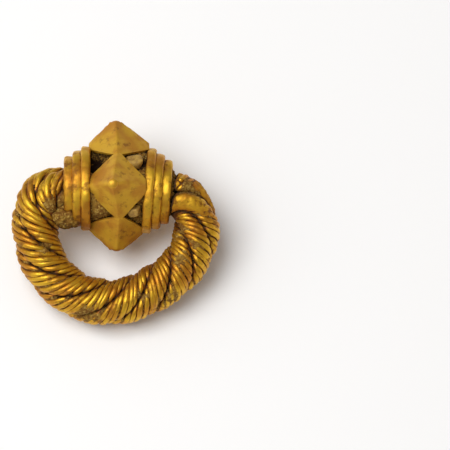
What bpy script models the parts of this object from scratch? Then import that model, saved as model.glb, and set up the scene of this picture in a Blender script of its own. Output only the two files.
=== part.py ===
"""Gold earring: a hoop of twisted rope closed by an openwork bead of four sheet-gold pyramids.

Metres, +Z up. The earring lies on its side, as it does when it is put down: on the granule of the
back pyramid and on the underside of the rope. Every piece is first modelled in the hoop's own
frame, with X along the bead, Y from the middle of the hoop towards the bead and Z towards the
front, and one empty then lays the whole earring down.
"""

import math

import bmesh
import bpy
import numpy as np
from mathutils import Vector

MM = 0.001
TURN = 2 * math.pi

# Hoop: the line down the middle of the rope, which turns through an elbow into each collar. The
# left elbow starts this far past its collar, and so sets how wide the hoop is
ELBOW_RADIUS = 2.84 * MM
ELBOW_START = 0.135 * MM

# Rope: where a strand crests is an angle round the hoop, and the widenings are across its plane
ROPE_RADIUS = 2.57 * MM
ROPE_PITCH = 14.5 * MM
CREST_ANGLE = math.radians(277.9)
ROPE_WIDENING = 1.1
FREE_END_WIDENING = 1.32
FREE_END_SHIFT = 0.26 * MM
FREE_END_GAP = 0.26 * MM
NECK_GAP = 0.05 * MM
EASE_LENGTH = 2.6 * MM

# Bends: how far the hoop is pushed out of its circle, and where and how far along as shares of
# the way from elbow to elbow
BENT_OUT = 0.27 * MM
BENT_OUT_AT = 0.225
BENT_OUT_REACH = 0.18
BENT_IN = 0.65 * MM
BENT_IN_AT = 0.69
BENT_IN_REACH = 0.175

# Worn shoulder: how much of the rope's outer side is gone near its free end, and where
SHOULDER_WEAR = 0.5 * MM
SHOULDER_FROM_END = 2.6 * MM
SHOULDER_REACH = 1.5 * MM

# Strands, each cut across: shares of the way to the next strand, and of the rope's radius there
STRAND_COUNT = 4
STRAND_GAP = 0.06 * MM
STRAND_CROWN = ((0.0, 1.0), (0.4, 0.985), (0.7, 0.935), (0.88, 0.84))
STRAND_FLAT_START = 0.68

# Bead: four pyramids round an axis along X, all heights and radii from that axis
BEAD_SHIFT = 0.11 * MM
BEAD_HEIGHT = 3.92 * MM
BEAD_HALF_LENGTH = 2.83 * MM
RING_CORNER_DROP = 0.65 * MM
RING_CORNER_WIDTH = 1.5 * MM
BELT_CORNER_RADIUS = 4.7 * MM
BELT_CORNER_WIDTH = 0.9 * MM
SHEET_THICKNESS = 0.33 * MM
SEAM_GAP = 0.04 * MM
SIDE_TIP_HEIGHT = 6.88 * MM
FACE_TIP_HEIGHT = 7.18 * MM
FACE_TIP_HALF_WIDTH = 0.58 * MM
OUTER_TIP_HALF_WIDTH = 0.7 * MM
INNER_TIP_HALF_WIDTH = 0.85 * MM
GRANULE_RADIUS = 0.52 * MM
GRANULE_SHOWS = 0.2 * MM
GRANULE_GAP = 0.02 * MM

# Hand work: how high a pyramid's ridge meets the large rings, and where it differs
RIDGE_AT_RINGS = 4.5 * MM
FRONT_RIDGE_RIGHT = 5.05 * MM
FRONT_RIDGE_LEFT = 4.3 * MM
BACK_RIDGE_RIGHT = 4.65 * MM
INNER_RIDGE_RIGHT = 5.05 * MM
INNER_RIDGE_LEFT = 4.65 * MM

# Hand work: how far a tip stands off its true place, along the bead and across it
FRONT_TIP_ALONG = -0.42 * MM
FRONT_TIP_ACROSS = 0.24 * MM
BACK_TIP_ALONG = 0.33 * MM
BACK_TIP_ACROSS = 0.2 * MM
OUTER_TIP_ALONG = -0.16 * MM
INNER_TIP_ALONG = -0.1 * MM

# Hand work: how far a belt corner stands off the middle of the bead, along the bead
FRONT_OUTER_BELT_SHIFT = 0.02 * MM
BACK_OUTER_BELT_SHIFT = 0.4 * MM
FRONT_INNER_BELT_SHIFT = 0.2 * MM
BACK_INNER_BELT_SHIFT = 0.12 * MM

# Collars: three rings of gold wire on each side of the bead, the large ones next to it
LARGE_RING_RADIUS = 4.0 * MM
LARGE_RING_WIRE = 0.45 * MM
MIDDLE_RING_WIRE = 0.52 * MM
SMALL_RING_WIRE = 0.52 * MM
MIDDLE_RING_STEP = 0.55 * MM
SMALL_RING_STEP = 0.58 * MM
RING_GAP = 0.03 * MM
LEFT_COLLAR_DROP = 0.25 * MM
RIGHT_COLLAR_DROP = 0.52 * MM
LEFT_COLLAR_LEAN = 0.0
RIGHT_COLLAR_LEAN = math.radians(4.2)

# Filling: how far its middle rises past the inside of the lowest sheet corner, and past its ends
FILLING_RISE = 0.224 * MM
FILLING_SWELL = 0.12 * MM
FILLING_HALF_LENGTH = 2.88 * MM

# Stone chips: side of the bead, angle round it, turn, and length, width and thickness
STONE_GAP = 0.05 * MM
STONE_EDGE = 0.16 * MM
STONES = {
    "stone_front_right": (1, math.radians(42), math.radians(15), (1.4 * MM, 1.2 * MM, 0.45 * MM)),
    "stone_back_right": (1, math.radians(136), math.radians(-40), (1.55 * MM, 1.2 * MM, 0.45 * MM)),
    "stone_inner_right": (1, math.radians(-43), math.radians(10), (1.15 * MM, 1.0 * MM, 0.42 * MM)),
    "stone_back_left": (-1, math.radians(134), 0.0, (0.9 * MM, 0.8 * MM, 0.5 * MM)),
}

# Lying down: how deep the worn flats are that the earring lies on
WORN_FLAT = 0.13 * MM

# How finely the solids are made
PATH_STEP = 0.05 * MM
STRAND_STATIONS = 64
RING_SEGMENTS = 24
RING_SIDES = 8
GRANULE_SEGMENTS = 12
FILLING_STEPS = 20
WELD_DISTANCE = 0.001 * MM


def clear_scene():
    """Removes every object that the file already holds."""
    for old in list(bpy.data.objects):
        bpy.data.objects.remove(old, do_unlink=True)


def new_collection(name):
    """A collection in the scene."""
    made = bpy.data.collections.new(name)
    bpy.context.scene.collection.children.link(made)
    return made


def finish(name, colour, roughness, metallic):
    """A plain material."""
    made = bpy.data.materials.new(name)
    made.use_nodes = True
    shader = made.node_tree.nodes["Principled BSDF"]
    shader.inputs["Base Color"].default_value = (*colour, 1.0)
    shader.inputs["Roughness"].default_value = roughness
    shader.inputs["Metallic"].default_value = metallic
    return made


def frame(name, parent, location=(0.0, 0.0, 0.0), rotation=(0.0, 0.0, 0.0)):
    """An empty that pieces hang on."""
    made = bpy.data.objects.new(name, None)
    made.location = location
    made.rotation_euler = rotation
    made.parent = parent
    earring.objects.link(made)
    return made


def place(obj, name, parent, material):
    """Names a piece and puts it in the earring's collection, under its parent."""
    obj.name = name
    for home in list(obj.users_collection):
        home.objects.unlink(obj)
    earring.objects.link(obj)
    obj.parent = parent
    obj.data.materials.clear()
    obj.data.materials.append(material)
    return obj


def ease(share):
    """0 to 1, level at both ends."""
    share = np.clip(share, 0.0, 1.0)
    return share * share * (3.0 - 2.0 * share)


# Collars


class Collar:
    """The line that the rings of one side share. side is -1 on the left and 1 on the right."""

    def __init__(self, name, side, drop, lean):
        self.name = name
        self.side = side
        self.lean = lean
        reach = BEAD_HALF_LENGTH + SEAM_GAP + LARGE_RING_WIRE
        self.middle = np.array([BEAD_SHIFT + side * reach, BEAD_HEIGHT - drop])
        self.away = np.array([side * math.cos(lean), -math.sin(lean)])
        self.up = np.array([side * math.sin(lean), math.cos(lean)])

    def at(self, along):
        """The point this far along the collar's line, from the middle of the large ring."""
        return self.middle + along * self.away

    def face(self, height):
        """Where along the bead the large ring's inner face is, at a height above the bead's axis."""
        leaning = (BEAD_HEIGHT + height - self.middle[1]) * math.tan(self.lean)
        face = self.middle[0] + self.side * (leaning - LARGE_RING_WIRE / math.cos(self.lean))
        return face - BEAD_SHIFT


def ring_sizes():
    """Name, radius, wire radius and place along the collar of each ring, from the bead outwards."""
    first_reach = LARGE_RING_WIRE + RING_GAP + MIDDLE_RING_WIRE
    second_reach = MIDDLE_RING_WIRE + RING_GAP + SMALL_RING_WIRE
    middle_radius = LARGE_RING_RADIUS - MIDDLE_RING_STEP
    middle_at = math.sqrt(first_reach**2 - MIDDLE_RING_STEP**2)
    small_at = middle_at + math.sqrt(second_reach**2 - SMALL_RING_STEP**2)
    return (
        ("large", LARGE_RING_RADIUS, LARGE_RING_WIRE, 0.0),
        ("middle", middle_radius, MIDDLE_RING_WIRE, middle_at),
        ("small", middle_radius - SMALL_RING_STEP, SMALL_RING_WIRE, small_at),
    )


def collar_length():
    """From the middle of the large ring to the outer face of the small one."""
    return ring_sizes()[-1][3] + SMALL_RING_WIRE


def make_rings(collar):
    """The three rings of one side."""
    lean = (0.0, 0.0, -collar.side * collar.lean)
    hub = frame(f"collar_{collar.name}", pose, (*collar.middle, 0.0), lean)
    for size, radius, wire, along in ring_sizes():
        bpy.ops.mesh.primitive_torus_add(
            major_radius=radius,
            minor_radius=wire,
            major_segments=RING_SEGMENTS,
            minor_segments=RING_SIDES,
            location=(collar.side * along, 0.0, 0.0),
            rotation=(0.0, math.pi / 2, 0.0),
        )
        ring = place(bpy.context.object, f"ring_{collar.name}_{size}", hub, gold)
        ring.data.shade_smooth()


# Rope


def angle_of(direction):
    """The angle of a direction in the hoop's plane, from 0 to a full turn."""
    return math.atan2(direction[1], direction[0]) % TURN


def hoop_radius(collar):
    """The hoop's circle, which the elbow that starts just past this collar runs into."""
    elbow = collar.at(collar_length() + ELBOW_START) - ELBOW_RADIUS * collar.up
    return float(np.linalg.norm(elbow)) + ELBOW_RADIUS


def elbow_centre(collar, hoop):
    """Middle of the arc that leaves the collar's line and runs into the hoop's circle."""
    foot = collar.middle - ELBOW_RADIUS * collar.up
    back = float(foot @ collar.away)
    excess = float(foot @ foot) - (hoop - ELBOW_RADIUS) ** 2
    return foot + (math.sqrt(back**2 - excess) - back) * collar.away


def straight(start, end, outwards):
    """Points of a straight run, with the direction that counts as outwards there."""
    count = max(2, int(np.linalg.norm(end - start) / PATH_STEP))
    shares = np.linspace(0.0, 1.0, count, endpoint=False)[:, None]
    return start + shares * (end - start), np.repeat(outwards[None], count, axis=0)


def arc(centre, radius, start, end):
    """Points of an anticlockwise arc, with the direction away from its centre."""
    count = max(2, int(abs(end - start) * radius / PATH_STEP))
    angles = np.linspace(start, end, count)[:-1]
    outwards = np.stack([np.cos(angles), np.sin(angles)], axis=1)
    return centre + radius * outwards, outwards


def bends(count):
    """How far out of its circle the hoop is bent, at even steps from elbow to elbow."""
    share = np.linspace(0.0, 1.0, count)
    out = BENT_OUT * np.exp(-(((share - BENT_OUT_AT) / BENT_OUT_REACH) ** 2))
    back = BENT_IN * np.exp(-(((share - BENT_IN_AT) / BENT_IN_REACH) ** 2))
    return 4.0 * share * (1.0 - share) * (out - back)


class RopePath:
    """The rope's middle line, from inside the left collar round the hoop to its free end."""

    def __init__(self, left, right):
        start = FILLING_HALF_LENGTH + SEAM_GAP - abs(left.middle[0] - BEAD_SHIFT)
        stop = collar_length() + FREE_END_GAP
        self.hoop = hoop_radius(left)
        left_elbow = elbow_centre(left, self.hoop)
        right_elbow = elbow_centre(right, self.hoop)
        turn_in = angle_of(left_elbow)
        turn_out = angle_of(right_elbow) + TURN
        # The free end lies on the elbow's arc, or on the collar's line if the arc ends before it
        short = stop - float((right_elbow - right.middle) @ right.away)
        cut_back = math.asin(min(1.0, max(0.0, short / ELBOW_RADIUS)))
        runs = [
            straight(left.at(start), left_elbow + ELBOW_RADIUS * left.up, left.up),
            arc(left_elbow, ELBOW_RADIUS, angle_of(left.up), turn_in),
            arc(np.zeros(2), self.hoop, turn_in, turn_out),
            arc(right_elbow, ELBOW_RADIUS, turn_out, angle_of(right.up) + TURN - cut_back),
        ]
        if short < 0.0:
            runs.append(straight(right_elbow + ELBOW_RADIUS * right.up, right.at(stop), right.up))
        self.points = np.concatenate([run[0] for run in runs])
        self.outwards = np.concatenate([run[1] for run in runs])
        steps = np.linalg.norm(np.diff(self.points, axis=0), axis=1)
        self.along = np.concatenate([[0.0], np.cumsum(steps)])
        self.length = self.along[-1]
        before = len(runs[0][0]) + len(runs[1][0])
        self.crest_at = self.along[before] + self.hoop * (CREST_ANGLE - turn_in)
        self.collar_end_at = collar_length() - start
        bent = slice(before, before + len(runs[2][0]))
        self.points[bent] += bends(len(runs[2][0]))[:, None] * self.outwards[bent]

    def at(self, along):
        """The points at these distances, with the directions that count as outwards there."""
        points = np.stack([np.interp(along, self.along, self.points[:, axis]) for axis in (0, 1)], axis=1)
        outwards = np.stack([np.interp(along, self.along, self.outwards[:, axis]) for axis in (0, 1)], axis=1)
        return points, outwards / np.linalg.norm(outwards, axis=1)[:, None]


def strand_section():
    """A strand cut across, anticlockwise from one shoulder over the crest and back by the heart.

    Each corner is an angle from the crest and a radius, as a share of the rope's.
    """
    half = math.pi / STRAND_COUNT
    half_gap = STRAND_GAP / 2 / ROPE_RADIUS
    crown = [(half * share, radius) for share, radius in STRAND_CROWN]
    flat = (half - math.atan2(half_gap, STRAND_FLAT_START), math.hypot(half_gap, STRAND_FLAT_START))
    leading = crown + [flat]
    trailing = [(-angle, radius) for angle, radius in reversed(leading[1:])]
    return trailing + leading + [(0.0, half_gap / math.sin(half))]


def strand_faces(rings):
    """The triangles between two sections, split so that the flats never bulge at the next strand."""
    corners = len(rings[0])
    first_flat = corners - 2
    faces = []
    for ring, after in zip(rings[:-1], rings[1:]):
        for here in range(corners):
            there = (here + 1) % corners
            if here < first_flat:
                faces.append((ring[here], ring[there], after[here]))
                faces.append((ring[there], after[there], after[here]))
            else:
                faces.append((ring[here], ring[there], after[there]))
                faces.append((ring[here], after[there], after[here]))
    return faces


def make_strand(number, path):
    """One strand: its section carried along the rope and turned as the rope is laid."""
    small_ring = ring_sizes()[-1]
    neck = min(ROPE_RADIUS, small_ring[1] - small_ring[2] - NECK_GAP)
    along = np.linspace(0.0, path.length, STRAND_STATIONS)
    points, outwards = path.at(along)
    leaving = ease((along - path.collar_end_at) / EASE_LENGTH)
    ending = ease((along - path.length) / (2 * EASE_LENGTH) + 1.0)
    widening = 1.0 + (ROPE_WIDENING - 1.0) * leaving + (FREE_END_WIDENING - ROPE_WIDENING) * ending
    in_plane = neck + (ROPE_RADIUS - neck) * leaving
    worn = SHOULDER_WEAR * np.exp(-(((along - path.length + SHOULDER_FROM_END) / SHOULDER_REACH) ** 2))
    phase = TURN * (0.25 + (along - path.crest_at) / ROPE_PITCH + number / STRAND_COUNT)
    shape = bmesh.new()
    rings = [[] for _ in along]
    for angle, radius in strand_section():
        sideways = radius * in_plane * np.cos(phase + angle)
        sideways = sideways - worn * ease(sideways / ROPE_RADIUS)
        forwards = radius * in_plane * widening * np.sin(phase + angle) + FREE_END_SHIFT * ending
        places = np.column_stack([points + sideways[:, None] * outwards, forwards])
        for ring, spot in zip(rings, places):
            ring.append(shape.verts.new(spot))
    for face in strand_faces(rings):
        shape.faces.new(face)
    shape.faces.new(rings[0])
    shape.faces.new(rings[-1])
    bmesh.ops.recalc_face_normals(shape, faces=shape.faces)
    mesh = bpy.data.meshes.new("strand")
    shape.to_mesh(mesh)
    shape.free()
    place(bpy.data.objects.new("strand", mesh), f"rope_strand_{number + 1}", pose, gold)


# Bead


def corner_points(pyramid, left, right):
    """The pyramid's foot, corner by corner: three points each, in the pyramid's own frame."""
    belt = BELT_CORNER_RADIUS / math.sqrt(2)
    half_ring = RING_CORNER_WIDTH / 2
    half_belt = BELT_CORNER_WIDTH / 2
    points = []
    for collar, belt_side, ridge, belt_shift in (
        (right, 1, pyramid["ridge"][0], pyramid["belt"][0]),
        (left, -1, pyramid["ridge"][1], pyramid["belt"][1]),
    ):
        end = collar.face(ridge * math.sin(pyramid["angle"])) - collar.side * SEAM_GAP
        points += [
            (end, -belt_side * half_ring, ridge - RING_CORNER_DROP),
            (end, 0.0, ridge),
            (end, belt_side * half_ring, ridge - RING_CORNER_DROP),
            (belt_shift + belt_side * half_belt, belt_side * (belt - SEAM_GAP / 2), belt + SEAM_GAP / 2),
            (belt_shift, belt_side * (belt - SEAM_GAP / 2), belt + SEAM_GAP / 2),
            (belt_shift - belt_side * half_belt, belt_side * (belt - SEAM_GAP / 2), belt + SEAM_GAP / 2),
        ]
    return [Vector(point) for point in points]


def tip_height(pyramid):
    """Where the pyramid ends flat, under its granule."""
    return pyramid["height"] - GRANULE_SHOWS


def make_pyramid(pyramid, bead, left, right):
    """A hollow pyramid of sheet gold, open below, with its tip cut flat for the granule."""
    foot = corner_points(pyramid, left, right)
    top = tip_height(pyramid)
    shape = bmesh.new()
    foot_corners = [shape.verts.new(point) for point in foot]
    tip_corners = []
    for point in foot:
        along = pyramid["shift"][0] + point.x * pyramid["tip"] / BEAD_HALF_LENGTH
        across = pyramid["shift"][1] + point.y * pyramid["tip"] / BEAD_HALF_LENGTH
        tip_corners.append(shape.verts.new((along, across, top)))
    for here in range(len(foot)):
        there = (here + 1) % len(foot)
        shape.faces.new((foot_corners[here], foot_corners[there], tip_corners[there], tip_corners[here]))
    shape.faces.new(tip_corners)
    bmesh.ops.recalc_face_normals(shape, faces=shape.faces)
    mesh = bpy.data.meshes.new(pyramid["name"])
    shape.to_mesh(mesh)
    shape.free()
    if mesh.polygons[-1].normal.z < 0:
        mesh.flip_normals()
    sheet = place(bpy.data.objects.new("pyramid", mesh), f"pyramid_{pyramid['name']}", bead, gold)
    sheet.rotation_euler = (-pyramid["angle"], 0.0, 0.0)
    wall = sheet.modifiers.new("wall", "SOLIDIFY")
    wall.thickness = SHEET_THICKNESS
    wall.offset = -1.0
    wall.use_even_offset = True


def make_granule(pyramid, bead):
    """The granule sunk in the pyramid's tip: the part of a ball that stands out of it."""
    shape = bmesh.new()
    bmesh.ops.create_uvsphere(
        shape, u_segments=GRANULE_SEGMENTS, v_segments=GRANULE_SEGMENTS - 2, radius=GRANULE_RADIUS
    )
    base = GRANULE_RADIUS - GRANULE_SHOWS + GRANULE_GAP
    everything = shape.verts[:] + shape.edges[:] + shape.faces[:]
    cut = bmesh.ops.bisect_plane(
        shape, geom=everything, plane_co=(0.0, 0.0, base), plane_no=(0.0, 0.0, 1.0), clear_inner=True
    )
    rim = [edge for edge in cut["geom_cut"] if isinstance(edge, bmesh.types.BMEdge)]
    bmesh.ops.edgeloop_fill(shape, edges=rim)
    bmesh.ops.recalc_face_normals(shape, faces=shape.faces)
    mesh = bpy.data.meshes.new("granule")
    shape.to_mesh(mesh)
    shape.free()
    mesh.shade_smooth()
    hub = frame(f"tip_{pyramid['name']}", bead, rotation=(-pyramid["angle"], 0.0, 0.0))
    granule = place(bpy.data.objects.new("granule", mesh), f"granule_{pyramid['name']}", hub, gold)
    granule.location = (*pyramid["shift"], pyramid["height"] - GRANULE_RADIUS)


def filling_radius():
    """The filling's radius in the middle of the bead."""
    lowest = min(min(pyramid["ridge"]) for pyramid in PYRAMIDS) - RING_CORNER_DROP
    return math.hypot(lowest, RING_CORNER_WIDTH / 2) - SHEET_THICKNESS + FILLING_RISE


def make_filling(bead):
    """The gritty filling: a turned body that swells in the middle of the bead."""
    half = FILLING_HALF_LENGTH
    middle = filling_radius()
    end = middle - FILLING_SWELL
    profile = [
        (half, 0.0),
        (half, end),
        (half / 2, middle - FILLING_SWELL / 4),
        (0.0, middle),
        (-half / 2, middle - FILLING_SWELL / 4),
        (-half, end),
        (-half, 0.0),
    ]
    mesh = bpy.data.meshes.new("filling")
    edges = [(here, here + 1) for here in range(len(profile) - 1)]
    mesh.from_pydata([(radius, 0.0, along) for along, radius in profile], edges, [])
    filling = place(bpy.data.objects.new("filling", mesh), "bead_filling", bead, earth)
    filling.rotation_euler = (0.0, math.pi / 2, 0.0)
    turned = filling.modifiers.new("turned", "SCREW")
    turned.steps = FILLING_STEPS
    turned.render_steps = FILLING_STEPS
    turned.use_merge_vertices = True
    turned.merge_threshold = WELD_DISTANCE


def opening_room():
    """The largest circle in the three-cornered opening: its middle along the bead and its radius."""
    corner_angle = math.atan2(RING_CORNER_WIDTH / 2, RIDGE_AT_RINGS - RING_CORNER_DROP)
    half_base = (RIDGE_AT_RINGS - RING_CORNER_DROP) * math.sin(math.pi / 4 - corner_angle)
    depth = BEAD_HALF_LENGTH - BELT_CORNER_WIDTH / 2
    radius = depth * half_base / (half_base + math.hypot(half_base, depth))
    return BEAD_HALF_LENGTH - radius, radius


def make_stone(name, bead):
    """One pale chip, seated on the filling in an opening between the pyramids."""
    side, angle, turn, sizes = STONES[name]
    middle, room = opening_room()
    seat = filling_radius() + STONE_GAP + sizes[2] / 2
    aside = abs(math.remainder(angle - math.pi / 4, math.pi / 2)) * seat
    corner = math.hypot(sizes[0], sizes[1]) / 2
    fit = min(1.0, (room - STONE_GAP - aside) / corner)
    hub = frame(f"seat_{name}", bead, (side * middle, 0.0, 0.0), (-angle, 0.0, 0.0))
    bpy.ops.mesh.primitive_cube_add(size=1.0)
    stone = place(bpy.context.object, name, hub, pale_stone)
    for vertex in stone.data.vertices:
        vertex.co = (vertex.co.x * sizes[0] * fit, vertex.co.y * sizes[1] * fit, vertex.co.z * sizes[2])
    stone.location = (0.0, 0.0, seat)
    stone.rotation_euler = (0.0, 0.0, turn)
    rounded = stone.modifiers.new("rounded", "BEVEL")
    rounded.width = STONE_EDGE
    rounded.segments = 2


# Lying down


def points_of(obj):
    """The piece's evaluated corners as rows of X, Y and Z."""
    evaluated = obj.evaluated_get(bpy.context.evaluated_depsgraph_get())
    mesh = evaluated.to_mesh()
    flat = np.empty(3 * len(mesh.vertices))
    mesh.vertices.foreach_get("co", flat)
    evaluated.to_mesh_clear()
    turned = np.array(obj.matrix_world.to_3x3())
    return flat.reshape(-1, 3) @ turned.T + np.array(obj.matrix_world.translation)


def lay_down():
    """Tilts the hoop until rope and bead touch the ground together, and stands it at the origin."""
    bpy.context.view_layer.update()
    pieces = [obj for obj in earring.objects if obj.type == "MESH"]
    rope = np.concatenate([points_of(obj) for obj in pieces if obj.name.startswith("rope")])
    rest = np.concatenate([points_of(obj) for obj in pieces if not obj.name.startswith("rope")])
    low = 0.0
    high = math.radians(45)
    for _ in range(50):
        tilt = (low + high) / 2
        down = np.array([0.0, math.sin(tilt), math.cos(tilt)])
        if (rest @ down).min() < (rope @ down).min():
            low = tilt
        else:
            high = tilt
    both = np.concatenate([rope, rest])
    back = np.array([0.0, math.cos(tilt), -math.sin(tilt)])
    middle_x = (both[:, 0].min() + both[:, 0].max()) / 2
    middle_y = ((both @ back).min() + (both @ back).max()) / 2
    pose.rotation_euler = (tilt, 0.0, 0.0)
    pose.location = (-middle_x, -middle_y, -(both @ down).min() - WORN_FLAT)
    bpy.context.view_layer.update()
    print(f"tilt {math.degrees(tilt):.3f} degrees, pose at {tuple(pose.location)}")


def wear_flats(side):
    """Cuts a small flat, with a block of this size, wherever a piece would reach below the ground."""
    bpy.ops.mesh.primitive_cube_add(size=side, location=(0.0, 0.0, -side / 2))
    ground = bpy.context.object
    ground.name = "ground_block"
    for home in list(ground.users_collection):
        home.objects.unlink(ground)
    cutters.objects.link(ground)
    ground.hide_render = True
    ground.display_type = "WIRE"
    for obj in [obj for obj in earring.objects if obj.type == "MESH"]:
        if points_of(obj)[:, 2].min() < 0.0:
            worn = obj.modifiers.new("worn_flat", "BOOLEAN")
            worn.operation = "DIFFERENCE"
            worn.object = ground
            print("worn flat on", obj.name)


clear_scene()
earring = new_collection("gold_earring")
cutters = new_collection("cutters")
gold = finish("gold", (0.80, 0.52, 0.12), 0.34, 1.0)
earth = finish("earth", (0.22, 0.17, 0.09), 0.95, 0.0)
pale_stone = finish("pale_stone", (0.62, 0.50, 0.28), 0.55, 0.0)

left_collar = Collar("left", -1, LEFT_COLLAR_DROP, LEFT_COLLAR_LEAN)
right_collar = Collar("right", 1, RIGHT_COLLAR_DROP, RIGHT_COLLAR_LEAN)

# Each pyramid: its angle round the bead from the front towards the hoop's outside, its tip, the
# right and left ends of its ridge, and where the two belt corners next to it stand, the one at
# its positive side first
PYRAMIDS = (
    {
        "name": "front",
        "angle": 0.0,
        "height": FACE_TIP_HEIGHT,
        "tip": FACE_TIP_HALF_WIDTH,
        "shift": (FRONT_TIP_ALONG, FRONT_TIP_ACROSS),
        "ridge": (FRONT_RIDGE_RIGHT, FRONT_RIDGE_LEFT),
        "belt": (FRONT_OUTER_BELT_SHIFT, FRONT_INNER_BELT_SHIFT),
    },
    {
        "name": "outer",
        "angle": math.pi / 2,
        "height": SIDE_TIP_HEIGHT,
        "tip": OUTER_TIP_HALF_WIDTH,
        "shift": (OUTER_TIP_ALONG, 0.0),
        "ridge": (RIDGE_AT_RINGS, RIDGE_AT_RINGS),
        "belt": (BACK_OUTER_BELT_SHIFT, FRONT_OUTER_BELT_SHIFT),
    },
    {
        "name": "back",
        "angle": math.pi,
        "height": FACE_TIP_HEIGHT,
        "tip": FACE_TIP_HALF_WIDTH,
        "shift": (BACK_TIP_ALONG, BACK_TIP_ACROSS),
        "ridge": (BACK_RIDGE_RIGHT, RIDGE_AT_RINGS),
        "belt": (BACK_INNER_BELT_SHIFT, BACK_OUTER_BELT_SHIFT),
    },
    {
        "name": "inner",
        "angle": 3 * math.pi / 2,
        "height": SIDE_TIP_HEIGHT,
        "tip": INNER_TIP_HALF_WIDTH,
        "shift": (INNER_TIP_ALONG, 0.0),
        "ridge": (INNER_RIDGE_RIGHT, INNER_RIDGE_LEFT),
        "belt": (FRONT_INNER_BELT_SHIFT, BACK_INNER_BELT_SHIFT),
    },
)

pose = frame("pose", None)
bead_frame = frame("bead", pose, (BEAD_SHIFT, BEAD_HEIGHT, 0.0))
for each_collar in (left_collar, right_collar):
    make_rings(each_collar)
for each_pyramid in PYRAMIDS:
    make_pyramid(each_pyramid, bead_frame, left_collar, right_collar)
    make_granule(each_pyramid, bead_frame)
make_filling(bead_frame)
for stone_name in STONES:
    make_stone(stone_name, bead_frame)
rope_path = RopePath(left_collar, right_collar)
for strand_number in range(STRAND_COUNT):
    make_strand(strand_number, rope_path)
lay_down()
wear_flats(4 * rope_path.hoop)
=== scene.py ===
# %% [markdown]
# # An old gold earring
# The solid model is loaded first and stays as it is. Its pieces have the right size and place,
# but they are plain: a strand of the rope is a smooth bar, and a ring is a clean torus. This
# lesson makes the surface that the eye sees, piece by piece, in the same place.

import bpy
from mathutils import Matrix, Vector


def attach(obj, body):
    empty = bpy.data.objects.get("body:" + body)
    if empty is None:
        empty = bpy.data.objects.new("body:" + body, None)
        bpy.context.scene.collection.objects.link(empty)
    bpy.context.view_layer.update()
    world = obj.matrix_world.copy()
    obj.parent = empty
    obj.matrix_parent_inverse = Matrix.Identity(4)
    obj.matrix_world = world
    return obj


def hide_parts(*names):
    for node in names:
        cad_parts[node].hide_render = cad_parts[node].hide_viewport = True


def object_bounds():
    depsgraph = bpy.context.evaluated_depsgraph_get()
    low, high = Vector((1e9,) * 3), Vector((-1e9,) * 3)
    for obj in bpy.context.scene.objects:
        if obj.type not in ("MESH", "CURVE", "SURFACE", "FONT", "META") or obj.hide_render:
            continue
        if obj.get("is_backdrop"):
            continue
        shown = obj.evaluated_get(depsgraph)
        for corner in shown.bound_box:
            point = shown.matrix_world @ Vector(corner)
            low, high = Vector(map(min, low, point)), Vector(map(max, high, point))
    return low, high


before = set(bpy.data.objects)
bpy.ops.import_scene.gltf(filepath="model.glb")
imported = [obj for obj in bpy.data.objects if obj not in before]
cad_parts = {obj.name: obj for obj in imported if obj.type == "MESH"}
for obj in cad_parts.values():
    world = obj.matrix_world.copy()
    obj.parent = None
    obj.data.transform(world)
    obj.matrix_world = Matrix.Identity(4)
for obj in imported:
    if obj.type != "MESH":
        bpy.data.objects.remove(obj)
solid_low, solid_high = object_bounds()
print("solid model from", tuple(solid_low), "to", tuple(solid_high))

# %% Modules and measures
import math
import random

import bmesh
import bpy
import numpy as np
from mathutils import Matrix, Vector
from mathutils.bvhtree import BVHTree

MM = 0.001
TURN = 2 * math.pi
TOUCHING = 0.001 * MM

# %% [markdown]
# ## How the earring lies
# The earring is modelled upright: X runs along the bead, Y from the middle of the hoop to the
# bead, and Z to the front. It lies on its back on the table, tilted, because the bead is thicker
# than the rope. One matrix lays every finished mesh down. The object itself stays at the origin.

# %% The earring's lie on the table
TILT = math.radians(19.564)
LIE = Matrix.Translation(Vector((0.06125, 0.07043, 5.42807)) * MM) @ Matrix.Rotation(TILT, 4, "X")
BEAD_X = 0.11 * MM
BEAD_Y = 3.92 * MM
BEAD = LIE @ Matrix.Translation((BEAD_X, BEAD_Y, 0.0))
print("the hoop lies tilted by", round(math.degrees(TILT), 2), "degrees")

# %% [markdown]
# ## Working by hand, in code
# An operator acts on everything that is selected, so each step first picks one piece, as a click
# does. Modifiers are applied at once, so that the next step shapes the real surface.

# %% Helpers that pick, modify and lay down a piece
def pick(piece):
    """Selects one piece alone."""
    bpy.ops.object.select_all(action="DESELECT")
    piece.select_set(True)
    bpy.context.view_layer.objects.active = piece


def modify(piece, kind, **settings):
    """Adds a modifier, sets it and applies it."""
    pick(piece)
    modifier = piece.modifiers.new(kind.title(), kind)
    for name, value in settings.items():
        setattr(modifier, name, value)
    bpy.ops.object.modifier_apply(modifier=modifier.name)


def make_uneven(piece, *waves):
    """Pushes the surface in and out, in waves of a length, a height and a depth of detail."""
    for length, height, detail in waves:
        pattern = bpy.data.textures.new(f"{piece.name}_unevenness", "CLOUDS")
        pattern.noise_scale = length
        pattern.noise_depth = detail
        modify(piece, "DISPLACE", texture=pattern, texture_coords="LOCAL", strength=height, mid_level=0.5)


def lay(piece, matrix):
    """Puts the place into the mesh and wears it flat where it would dip into the table."""
    piece.data.transform(matrix @ piece.matrix_basis)
    piece.matrix_basis = Matrix.Identity(4)
    for vertex in piece.data.vertices:
        vertex.co.z = max(vertex.co.z, 0.0)
    piece.data.shade_smooth()
    print(f"{piece.name}: {len(piece.data.polygons)} faces")
    return piece


def new_object(name, data):
    """An object for data that was made without an operator."""
    made = bpy.data.objects.new(name, data)
    bpy.context.scene.collection.objects.link(made)
    return made


def open_mesh(action="SELECT"):
    """Turns to edit mode, with all or nothing of the mesh selected."""
    bpy.ops.object.mode_set(mode="EDIT")
    bpy.ops.mesh.select_all(action=action)


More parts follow.
